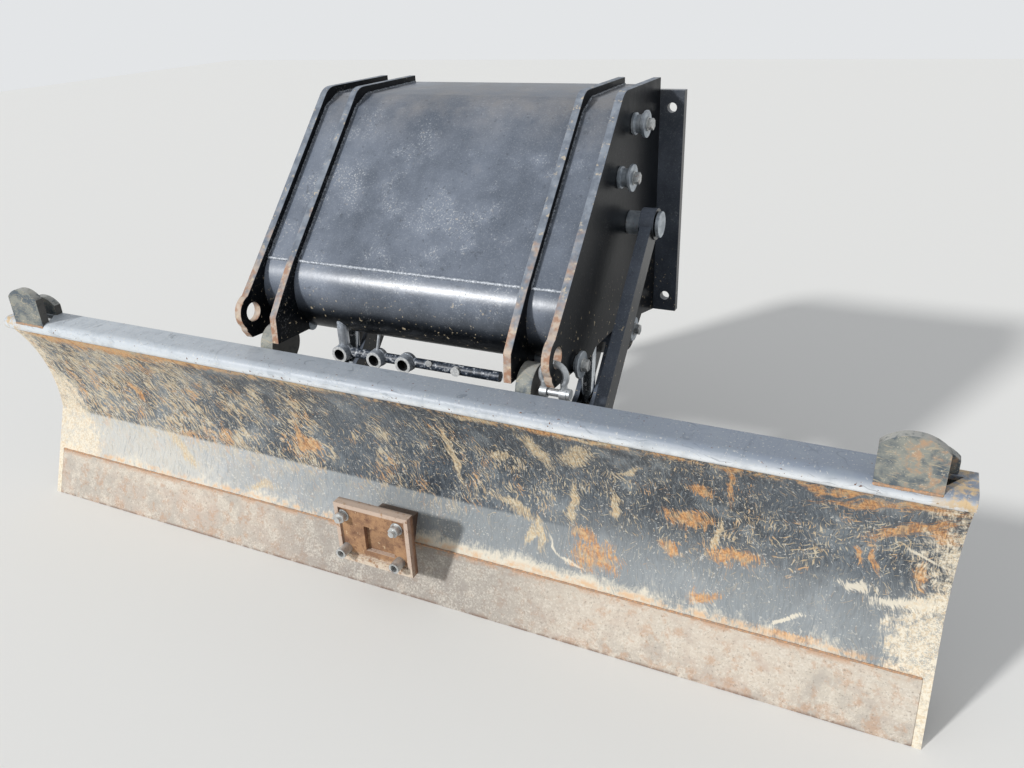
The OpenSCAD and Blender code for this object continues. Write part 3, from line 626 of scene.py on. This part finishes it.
def makeLugFinish():
    look, grain = lugLook, lugGrain
    p = Paint("cornerLugFinish")
    cloud = p.noise(*grain["cloud"])
    blot = p.noise(*grain["blot"])
    fine = p.noise(*grain["fine"])
    p.colour = p.mix(cloud.rise(0.38, 0.62), look["paint"], look["dusty"])
    scrape = p.dashes(*lugStroke["level"], 0.5).larger(p.dashes(*lugStroke["falling"], 0.4))
    p.coat(scrape * 0.55, look["scrape"])
    rust = (cloud * 0.5 + blot * 0.5 + (p.x - 1.17) * 0.8).rise(0.52, 0.64)
    p.coat(rust * 0.6, look["rust"])
    p.coat(fine.rise(0.6, 0.7) * 0.5, look["speck"])
    # painted highlight: the rim, the faces that look neither front nor back, is painted pale in
    # blots
    brow = p.facing[1].size().fall(0.35, 0.8)
    p.coat(brow * blot.rise(0.34, 0.5) * 0.8, look["brow"])
    # painted shade: faces that look back or sideways are painted dark
    shade = p.facing[1].rise(0.3, 0.8).larger(p.facing[0].size().rise(0.6, 0.9))
    p.coat(shade * 0.85, look["shade"])
    return p.finish(0.55 + scrape * 0.2, 0.0, fine + cloud, 0.0008)


weldGrain = (0.005, 3.0, 0.6)


def makeWeldFinish(name, dark, pale, rough):
    p = Paint(name)
    fine = p.noise(*weldGrain)
    p.colour = p.mix(fine.rise(0.4, 0.7), dark, pale)
    return p.finish(rough, 0.0, fine, 0.0006)


# Each finish with the record's material slot that it belongs to
finishes = {
    "blade": (makeBladeFinish(), "blade_paint"),
    "edge": (makeEdgeFinish(), "worn_steel"),
    "plates": (makeBracketFinish("sidePlateFinish", edges=True), "bracket_paint"),
    "bracket": (makeBracketFinish("bracketFinish"), "bracket_paint"),
    "tow": (makeTowFinish(), "rust"),
    "pins": (makeSteel("pinSteel", "8d969f", "b9c0c6", rust=0.3, rough=0.38, metal=0.55),
             "pin_steel"),
    "chrome": (makeSteel("rodChrome", "b4bac0", "d2d6da", rust=0.1, rough=0.12, metal=1.0),
               "rod_chrome"),
    "shackle": (makeSteel("shackleSteel", "9b9fa2", "c9ccce", rust=0.3, rough=0.42, metal=0.6),
                "galvanised"),
    "bolts": (makeSteel("boltSteel", "9a9d9e", "cfd0ce", rust=0.45, rough=0.4, metal=0.6),
              "pin_steel"),
    "ports": (makePortFinish(), "pin_steel"),
    "brightSteel": (makeSteel("portSteel", "a9afb6", "d4d8dc", rust=0.1, rough=0.3, metal=0.5),
                    "pin_steel"),
    "lugs": (makeLugFinish(), "blade_paint"),
    "weld": (makeWeldFinish("weldBead", "3a4048", "8f969f", 0.36), "bracket_paint"),
    "brightWeld": (makeWeldFinish("brightWeldBead", "7d848e", "ced2d7", 0.32), "bracket_paint"),
    "rustyWeld": (makeWeldFinish("rustyWeldBead", "9a8370", "cf9a6c", 0.7), "rust"),
    "pale": (makeWeldFinish("paleBits", "c4c6c6", "ebebe8", 0.5), "galvanised"),
}
print("finishes made:", len(finishes))


# Pieces

# Merging distances in metres, angles in degrees, and sides of what is round
meshPlan = {"merge": 0.00005, "hole": 40, "solidMerge": 0.00002, "flat": 0.5, "sharp": 32,
            "roundSharp": 40, "bevelSegments": 2, "sides": 32}


def keep(bm, name, body, finish):
    material, slot = finishes[finish]
    mesh = bpy.data.meshes.new(name)
    bm.to_mesh(mesh)
    bm.free()
    mesh.materials.append(material)
    piece = bpy.data.objects.new(name, mesh)
    bpy.context.scene.collection.objects.link(piece)
    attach(piece, body)
    return piece


def smoothUnder(bm, degrees):
    for face in bm.faces:
        face.smooth = True
    for edge in bm.edges:
        edge.smooth = edge.is_manifold and edge.calc_face_angle(0.0) < math.radians(degrees)


def closeUp(bm):
    # merges doubles, fills open ends and turns the faces outwards
    bmesh.ops.remove_doubles(bm, verts=bm.verts, dist=meshPlan["merge"])
    bmesh.ops.holes_fill(bm, edges=[e for e in bm.edges if e.is_boundary],
                         sides=meshPlan["hole"])
    bmesh.ops.recalc_face_normals(bm, faces=bm.faces)


def upTo(direction):
    # the turn that brings Z to this direction
    return Vector((0, 0, 1)).rotation_difference(direction).to_matrix().to_4x4()


# Each CAD solid gets rounded edges: start of its name, finish and edge radius in metres
dressing = [
    ("moldboard", "blade", 0.0015), ("cutting_edge", "edge", 0.002), ("rear_box", "blade", 0.003),
    ("end_plate", "blade", 0.002), ("corner_lug", "lugs", 0.003), ("rear_lug", "lugs", 0.003),
    ("arm_lug", "blade", 0.0015), ("link_lug", "blade", 0.0015), ("guide_lug", "lugs", 0.003),
    ("tow_bracket", "tow", 0.002), ("arm_tip_pin", "pins", 0.001), ("link_tip_pin", "pins", 0.001),
    ("lift_arm", "bracket", 0.0015), ("cross_tube", "bracket", 0.001),
    ("upper_link", "bracket", 0.002), ("barrel", "bracket", 0.001), ("rod", "chrome", 0.0008),
    ("outer_plate", "plates", 0.002), ("inner_plate", "plates", 0.002),
    ("centre_cover", "bracket", 0.001), ("narrow_cover", "bracket", 0.001),
    ("mounting_flange", "bracket", 0.002), ("arm_pin", "pins", 0.0015),
    ("link_pin", "pins", 0.0015), ("cylinder_pin", "pins", 0.0015), ("tie_pin", "pins", 0.0015),
    ("ear_pin", "pins", 0.0015), ("port_block", "ports", 0.0008),
    ("shackle", "shackle", 0.0008),
]


def dress(node):
    finish, radius = next((f, r) for start, f, r in dressing if node.startswith(start))
    bm = bmesh.new()
    bm.from_mesh(frame["nodes"][node].data)
    bmesh.ops.remove_doubles(bm, verts=bm.verts, dist=meshPlan["solidMerge"])
    bmesh.ops.dissolve_limit(bm, angle_limit=math.radians(meshPlan["flat"]), verts=bm.verts,
                             edges=bm.edges)
    smoothUnder(bm, meshPlan["sharp"])
    words = node.split("_")
    name = words[0] + "".join(word.capitalize() for word in words[1:])
    piece = keep(bm, name, bodyOfNode[node], finish)
    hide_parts(node)
    bevel = piece.modifiers.new("edges", "BEVEL")
    bevel.width = radius
    bevel.segments = meshPlan["bevelSegments"]
    bevel.limit_method = "ANGLE"
    bevel.angle_limit = math.radians(meshPlan["sharp"])
    bevel.harden_normals = True


for node in bodyOfNode:
    dress(node)
print("solids dressed")

# Ripples of a bead: spacing, sides of a ring, and how far rings shrink and swell
weldPlan = {"ripple": 0.0045, "sides": 8, "valley": 0.86, "even": 0.94, "uneven": 0.12,
            "wave": 0.37, "tip": 0.25}


def weldBead(name, start, end, radius, body, finish="weld"):
    # a tube whose rings swell and shrink, laid from start to end
    plan = weldPlan
    run = end - start
    rings = max(4, int(run.length / plan["ripple"]) * 2)
    bm = bmesh.new()
    bmesh.ops.create_grid(bm, x_segments=rings, y_segments=plan["sides"], size=0.5)
    along = run.normalized()
    side = along.orthogonal().normalized()
    up = along.cross(side)
    for vert in bm.verts:
        share = vert.co.x + 0.5
        turn = (vert.co.y + 0.5) * 2 * math.pi
        ring = round(share * rings)
        crest = 1.0 if ring % 2 else plan["valley"]
        swell = radius * crest * (plan["even"] + plan["uneven"] * math.sin(ring * plan["wave"]))
        if ring in (0, rings):
            swell = radius * plan["tip"]
        out = side * math.cos(turn) + up * math.sin(turn)
        vert.co = start + along * run.length * share + out * swell
    closeUp(bm)
    for face in bm.faces:
        face.smooth = True
    keep(bm, name, body, finish)


# Folds of the covers in the side view, faces of the plates, and the other beads
coverLine = [(0.2150, 0.8049), (0.5407, 1.1438), (0.6007, 1.1710), (0.858, 1.1740)]
plateFaces = [-0.419, -0.340, -0.320, 0.320, 0.340, 0.419]
beads = {"cover": 0.0045, "nose": (0.2145, 0.805), "edge": (0.052, 0.1355), "edgeHalf": 1.256,
         "edgeRadius": 0.003, "lug": (0.0035, 0.5925), "lugEnds": (1.104, 1.221),
         "lugRadius": 0.004}
for number, x in enumerate(plateFaces):
    for part in range(len(coverLine) - 1):
        weldBead(f"coverWeld{number}Part{part}", place(x, *coverLine[part]),
                 place(x, *coverLine[part + 1]), beads["cover"], "bracket")
for number, name in enumerate(("Left", "Middle", "Right")):
    low, high = plateFaces[number * 2:number * 2 + 2]
    weldBead(f"noseWeld{name}", place(low, *beads["nose"]), place(high, *beads["nose"]),
             beads["cover"], "bracket", "brightWeld")
weldBead("edgeWeld", place(-beads["edgeHalf"], *beads["edge"]),
         place(beads["edgeHalf"], *beads["edge"]), beads["edgeRadius"], "blade", "rustyWeld")
for side in (-1, 1):
    inner, outer = [place(side * x, *beads["lug"]) for x in beads["lugEnds"]]
    weldBead(f"lugWeld{side}", inner, outer, beads["lugRadius"], "blade", "rustyWeld")
print("welds laid")

# Shares of the width across flats, thickness and chamfer in metres, most turn in radians
boltPlan = {"washer": 0.66, "corner": 0.577, "thick": 0.003, "chamfer": 0.0009, "turn": 1.0}


def disc(bm, radius, segments, foot, height):
    made = bmesh.ops.create_cone(bm, cap_ends=True, segments=segments, radius1=radius,
                                 radius2=radius, depth=height)
    bmesh.ops.translate(bm, verts=made["verts"], vec=(0, 0, foot + height / 2))


def bolt(name, at, axis, across, height, body):
    # a hexagon head on a washer; at is the face that it stands on
    plan = boltPlan
    bm = bmesh.new()
    disc(bm, across * plan["washer"], meshPlan["sides"], 0.0, plan["thick"])
    disc(bm, across * plan["corner"], 6, plan["thick"], height)
    bmesh.ops.bevel(bm, geom=bm.edges, offset=plan["chamfer"], offset_type="OFFSET",
                    affect="EDGES", segments=meshPlan["bevelSegments"], profile=0.5,
                    material=-1)
    bmesh.ops.rotate(bm, verts=bm.verts, cent=(0, 0, 0),
                     matrix=Matrix.Rotation(rng.uniform(0, plan["turn"]), 3, "Z"))
    bmesh.ops.transform(bm, matrix=Matrix.Translation(at) @ upTo(axis), verts=bm.verts)
    smoothUnder(bm, meshPlan["sharp"])
    keep(bm, name, body, "bolts")


# Y, Z and the outer face of each pin's disc, and the size of the heads on them
pinPlaces = {"tie": (0.635, 1.107, 0.475), "cylinder": (0.533, 0.996, 0.475),
             "ear": (0.238, 0.623, 0.455), "arm": (0.640, 0.560, 0.453)}
pinHead = {"across": 0.026, "height": 0.012}
for side in (-1, 1):
    for name, (y, z, face) in pinPlaces.items():
        bolt(f"{name}PinBolt{side}", place(side * face, y, z), Vector((side, 0, 0)),
             pinHead["across"], pinHead["height"], "bracket")
print("bolts set")

endPlan = {"sides": 28, "sunk": 0.002, "boreDepth": 0.7}


def threadedEnd(name, at, length, radius, bore=0.0):
    # round bolt end that faces the front, hollow when it has a bore
    bm = bmesh.new()
    ring = bmesh.ops.create_circle(bm, segments=endPlan["sides"], radius=radius)
    bmesh.ops.translate(bm, verts=ring["verts"], vec=(0, 0, -endPlan["sunk"]))
    steps = [(radius, length)]
    if bore:
        steps += [(bore, 0.0), (bore, -length * endPlan["boreDepth"])]
    last = list(bm.edges)
    lastRadius = radius
    for size, move in steps:
        made = bmesh.ops.extrude_edge_only(bm, edges=last)["geom"]
        verts = [g for g in made if isinstance(g, bmesh.types.BMVert)]
        bmesh.ops.scale(bm, verts=verts, vec=(size / lastRadius, size / lastRadius, 1.0))
        bmesh.ops.translate(bm, verts=verts, vec=(0, 0, move))
        last = [g for g in made if isinstance(g, bmesh.types.BMEdge)
                and all(v in verts for v in g.verts)]
        lastRadius = size
    bmesh.ops.contextual_create(bm, geom=last)
    closeUp(bm)
    bmesh.ops.rotate(bm, verts=bm.verts, cent=(0, 0, 0),
                     matrix=Matrix.Rotation(math.pi / 2, 3, "X"))
    bmesh.ops.translate(bm, verts=bm.verts, vec=at)
    smoothUnder(bm, meshPlan["roundSharp"])
    keep(bm, name, "blade", "bolts")


def rod(name, start, end, radius, body, finish, inner=0.0):
    # a round bar or, with an inner radius, a ring
    run = end - start
    bm = bmesh.new()
    outline = [(inner, 0.0), (radius, 0.0), (radius, run.length), (inner, run.length)]
    verts = [bm.verts.new((r, 0.0, h)) for r, h in outline]
    edges = [bm.edges.new((verts[i], verts[(i + 1) % 4])) for i in range(4 if inner else 3)]
    bmesh.ops.spin(bm, geom=verts + edges, cent=(0, 0, 0), axis=(0, 0, 1), angle=2 * math.pi,
                   steps=meshPlan["sides"], use_merge=True)
    closeUp(bm)
    bmesh.ops.transform(bm, matrix=Matrix.Translation(start) @ upTo(run), verts=bm.verts)
    smoothUnder(bm, meshPlan["roundSharp"])
    keep(bm, name, body, finish)


# Rings of the ports: from and to in front of the ports' face, radius, inner radius, finish
portRings = {"portRing": (0.002, -0.001, 0.0222, 0.0152, "pale"),
             "portLip": (0.030, 0.022, 0.0245, 0.0226, "brightSteel")}
# Small fittings of the ports: start, end, radius and finish
portBits = {
    "portTube": ((-0.205, 0.212, 0.592), (-0.205, 0.212, 0.640), 0.0142, "brightSteel"),
    "portPin": ((-0.098, 0.205, 0.588), (-0.092, 0.212, 0.632), 0.0035, "brightSteel"),
    "portPlug": ((0.135, 0.204, 0.571), (0.135, 0.194, 0.571), 0.0125, "pale"),
    "portNub": ((0.052, 0.206, 0.577), (0.060, 0.196, 0.581), 0.0075, "pale"),
}
for number, x in enumerate(portPlan["rings"]):
    for name, (low, high, radius, inner, finish) in portRings.items():
        start, end = [place(x, portPlan["front"] + off, portPlan["z"]) for off in (low, high)]
        rod(f"{name}{number}", start, end, radius, "bracket", finish, inner)
for name, (start, end, radius, finish) in portBits.items():
    rod(name, place(*start), place(*end), radius, "bracket", finish)
print("ports dressed")

towPlan = {"x": 0.079, "low": 0.147, "high": 0.245, "face": -0.042}
towBolt = {"across": 0.026, "height": 0.016, "endFrom": 0.018, "end": 0.012, "radius": 0.008}
towSleeve = {"length": 0.034, "radius": 0.014, "bore": 0.009}
for x in (-towPlan["x"], towPlan["x"]):
    high = place(x, towPlan["face"], towPlan["high"])
    bolt(f"towBolt{x}", high, Vector((0, -1, 0)), towBolt["across"], towBolt["height"], "blade")
    threadedEnd(f"towBoltEnd{x}", high + Vector((0, -towBolt["endFrom"], 0)), towBolt["end"],
                towBolt["radius"])
    threadedEnd(f"towSleeve{x}", place(x, towPlan["face"], towPlan["low"]),
                towSleeve["length"], towSleeve["radius"], towSleeve["bore"])
print("tow bracket's bolts set")

# Setting

stagePlan = {"floor": 14.0, "floorTone": "e9e8e4", "floorRough": 0.9, "backdrop": "eef0f2",
             "backdropLight": 0.9, "sky": "eef1f6", "skyLight": 0.60, "sun": 2.6,
             "sunAngle": 5, "sunTo": (0.50, 0.75, -0.50)}
bm = bmesh.new()
bmesh.ops.create_grid(bm, x_segments=1, y_segments=1, size=stagePlan["floor"])
bmesh.ops.translate(bm, verts=bm.verts, vec=(0, 0, -site["stance"]))
floorMesh = bpy.data.meshes.new("floor")
bm.to_mesh(floorMesh)
bm.free()
floor = bpy.data.objects.new("floor", floorMesh)
bpy.context.scene.collection.objects.link(floor)
floorPaint = bpy.data.materials.new("floorPaper")
floorPaint.use_nodes = True
floorShader = floorPaint.node_tree.nodes["Principled BSDF"]
floorShader.inputs["Base Color"].default_value = linear(stagePlan["floorTone"])
floorShader.inputs["Roughness"].default_value = stagePlan["floorRough"]
floorMesh.materials.append(floorPaint)

# The sky lights the object; the camera and reflections see the plain backdrop
world = bpy.data.worlds.new("studio")
bpy.context.scene.world = world
world.use_nodes = True
air = Graph(world.node_tree)
sky = Wire(air, air.tree.nodes["Background"].outputs[0])
air.feed(sky.socket.node.inputs["Color"], linear(stagePlan["sky"]))
air.feed(sky.socket.node.inputs["Strength"], stagePlan["skyLight"])
cameraRay = air.node("ShaderNodeLightPath", {}, {}, "Is Camera Ray")
seen = cameraRay.larger(cameraRay.other("Is Glossy Ray"))
plain = air.node("ShaderNodeBackground", {}, {"Color": linear(stagePlan["backdrop"]),
                                              "Strength": stagePlan["backdropLight"]})
chosen = air.node("ShaderNodeMixShader", {}, {0: seen, 1: sky, 2: plain})
air.feed(air.tree.nodes["World Output"].inputs["Surface"], chosen)

sun = bpy.data.lights.new("key", "SUN")
sun.energy = stagePlan["sun"]
sun.angle = math.radians(stagePlan["sunAngle"])
sunObject = bpy.data.objects.new("key", sun)
bpy.context.scene.collection.objects.link(sunObject)
sunObject.rotation_euler = Vector(stagePlan["sunTo"]).to_track_quat("-Z", "Y").to_euler()

bpy.context.scene.view_settings.view_transform = "Standard"
print("floor and light ready")

# Camera: place in metres, angles in degrees, focal length and centre in pixels of the picture
picture = {"wide": 1024, "high": 768}
cameraPlan = {"at": (1.1004, -2.3169, 0.5880), "heading": -26.477, "down": 25.250,
              "roll": -2.480, "focal": 841.79, "centreX": 511.52, "centreY": 378.08,
              "sensor": 36}
heading = math.radians(cameraPlan["heading"])
down = math.radians(cameraPlan["down"])
roll = math.radians(cameraPlan["roll"])
forward = Vector((math.sin(heading) * math.cos(down), math.cos(heading) * math.cos(down),
                  -math.sin(down)))
level = forward.cross(Vector((0, 0, 1))).normalized()
right = level * math.cos(roll) + level.cross(forward) * math.sin(roll)
up = right.cross(forward)
lens = bpy.data.cameras.new("camera")
lens.sensor_width = cameraPlan["sensor"]
lens.lens = cameraPlan["sensor"] * cameraPlan["focal"] / picture["wide"]
lens.shift_x = (picture["wide"] / 2 - cameraPlan["centreX"]) / picture["wide"]
lens.shift_y = (cameraPlan["centreY"] - picture["high"] / 2) / picture["wide"]
camera = bpy.data.objects.new("camera", lens)
bpy.context.scene.collection.objects.link(camera)
camera.matrix_world = Matrix.Translation(cameraPlan["at"]) @ Matrix(
    (right, up, -forward)).transposed().to_4x4()
bpy.context.scene.camera = camera

print("scene ready")
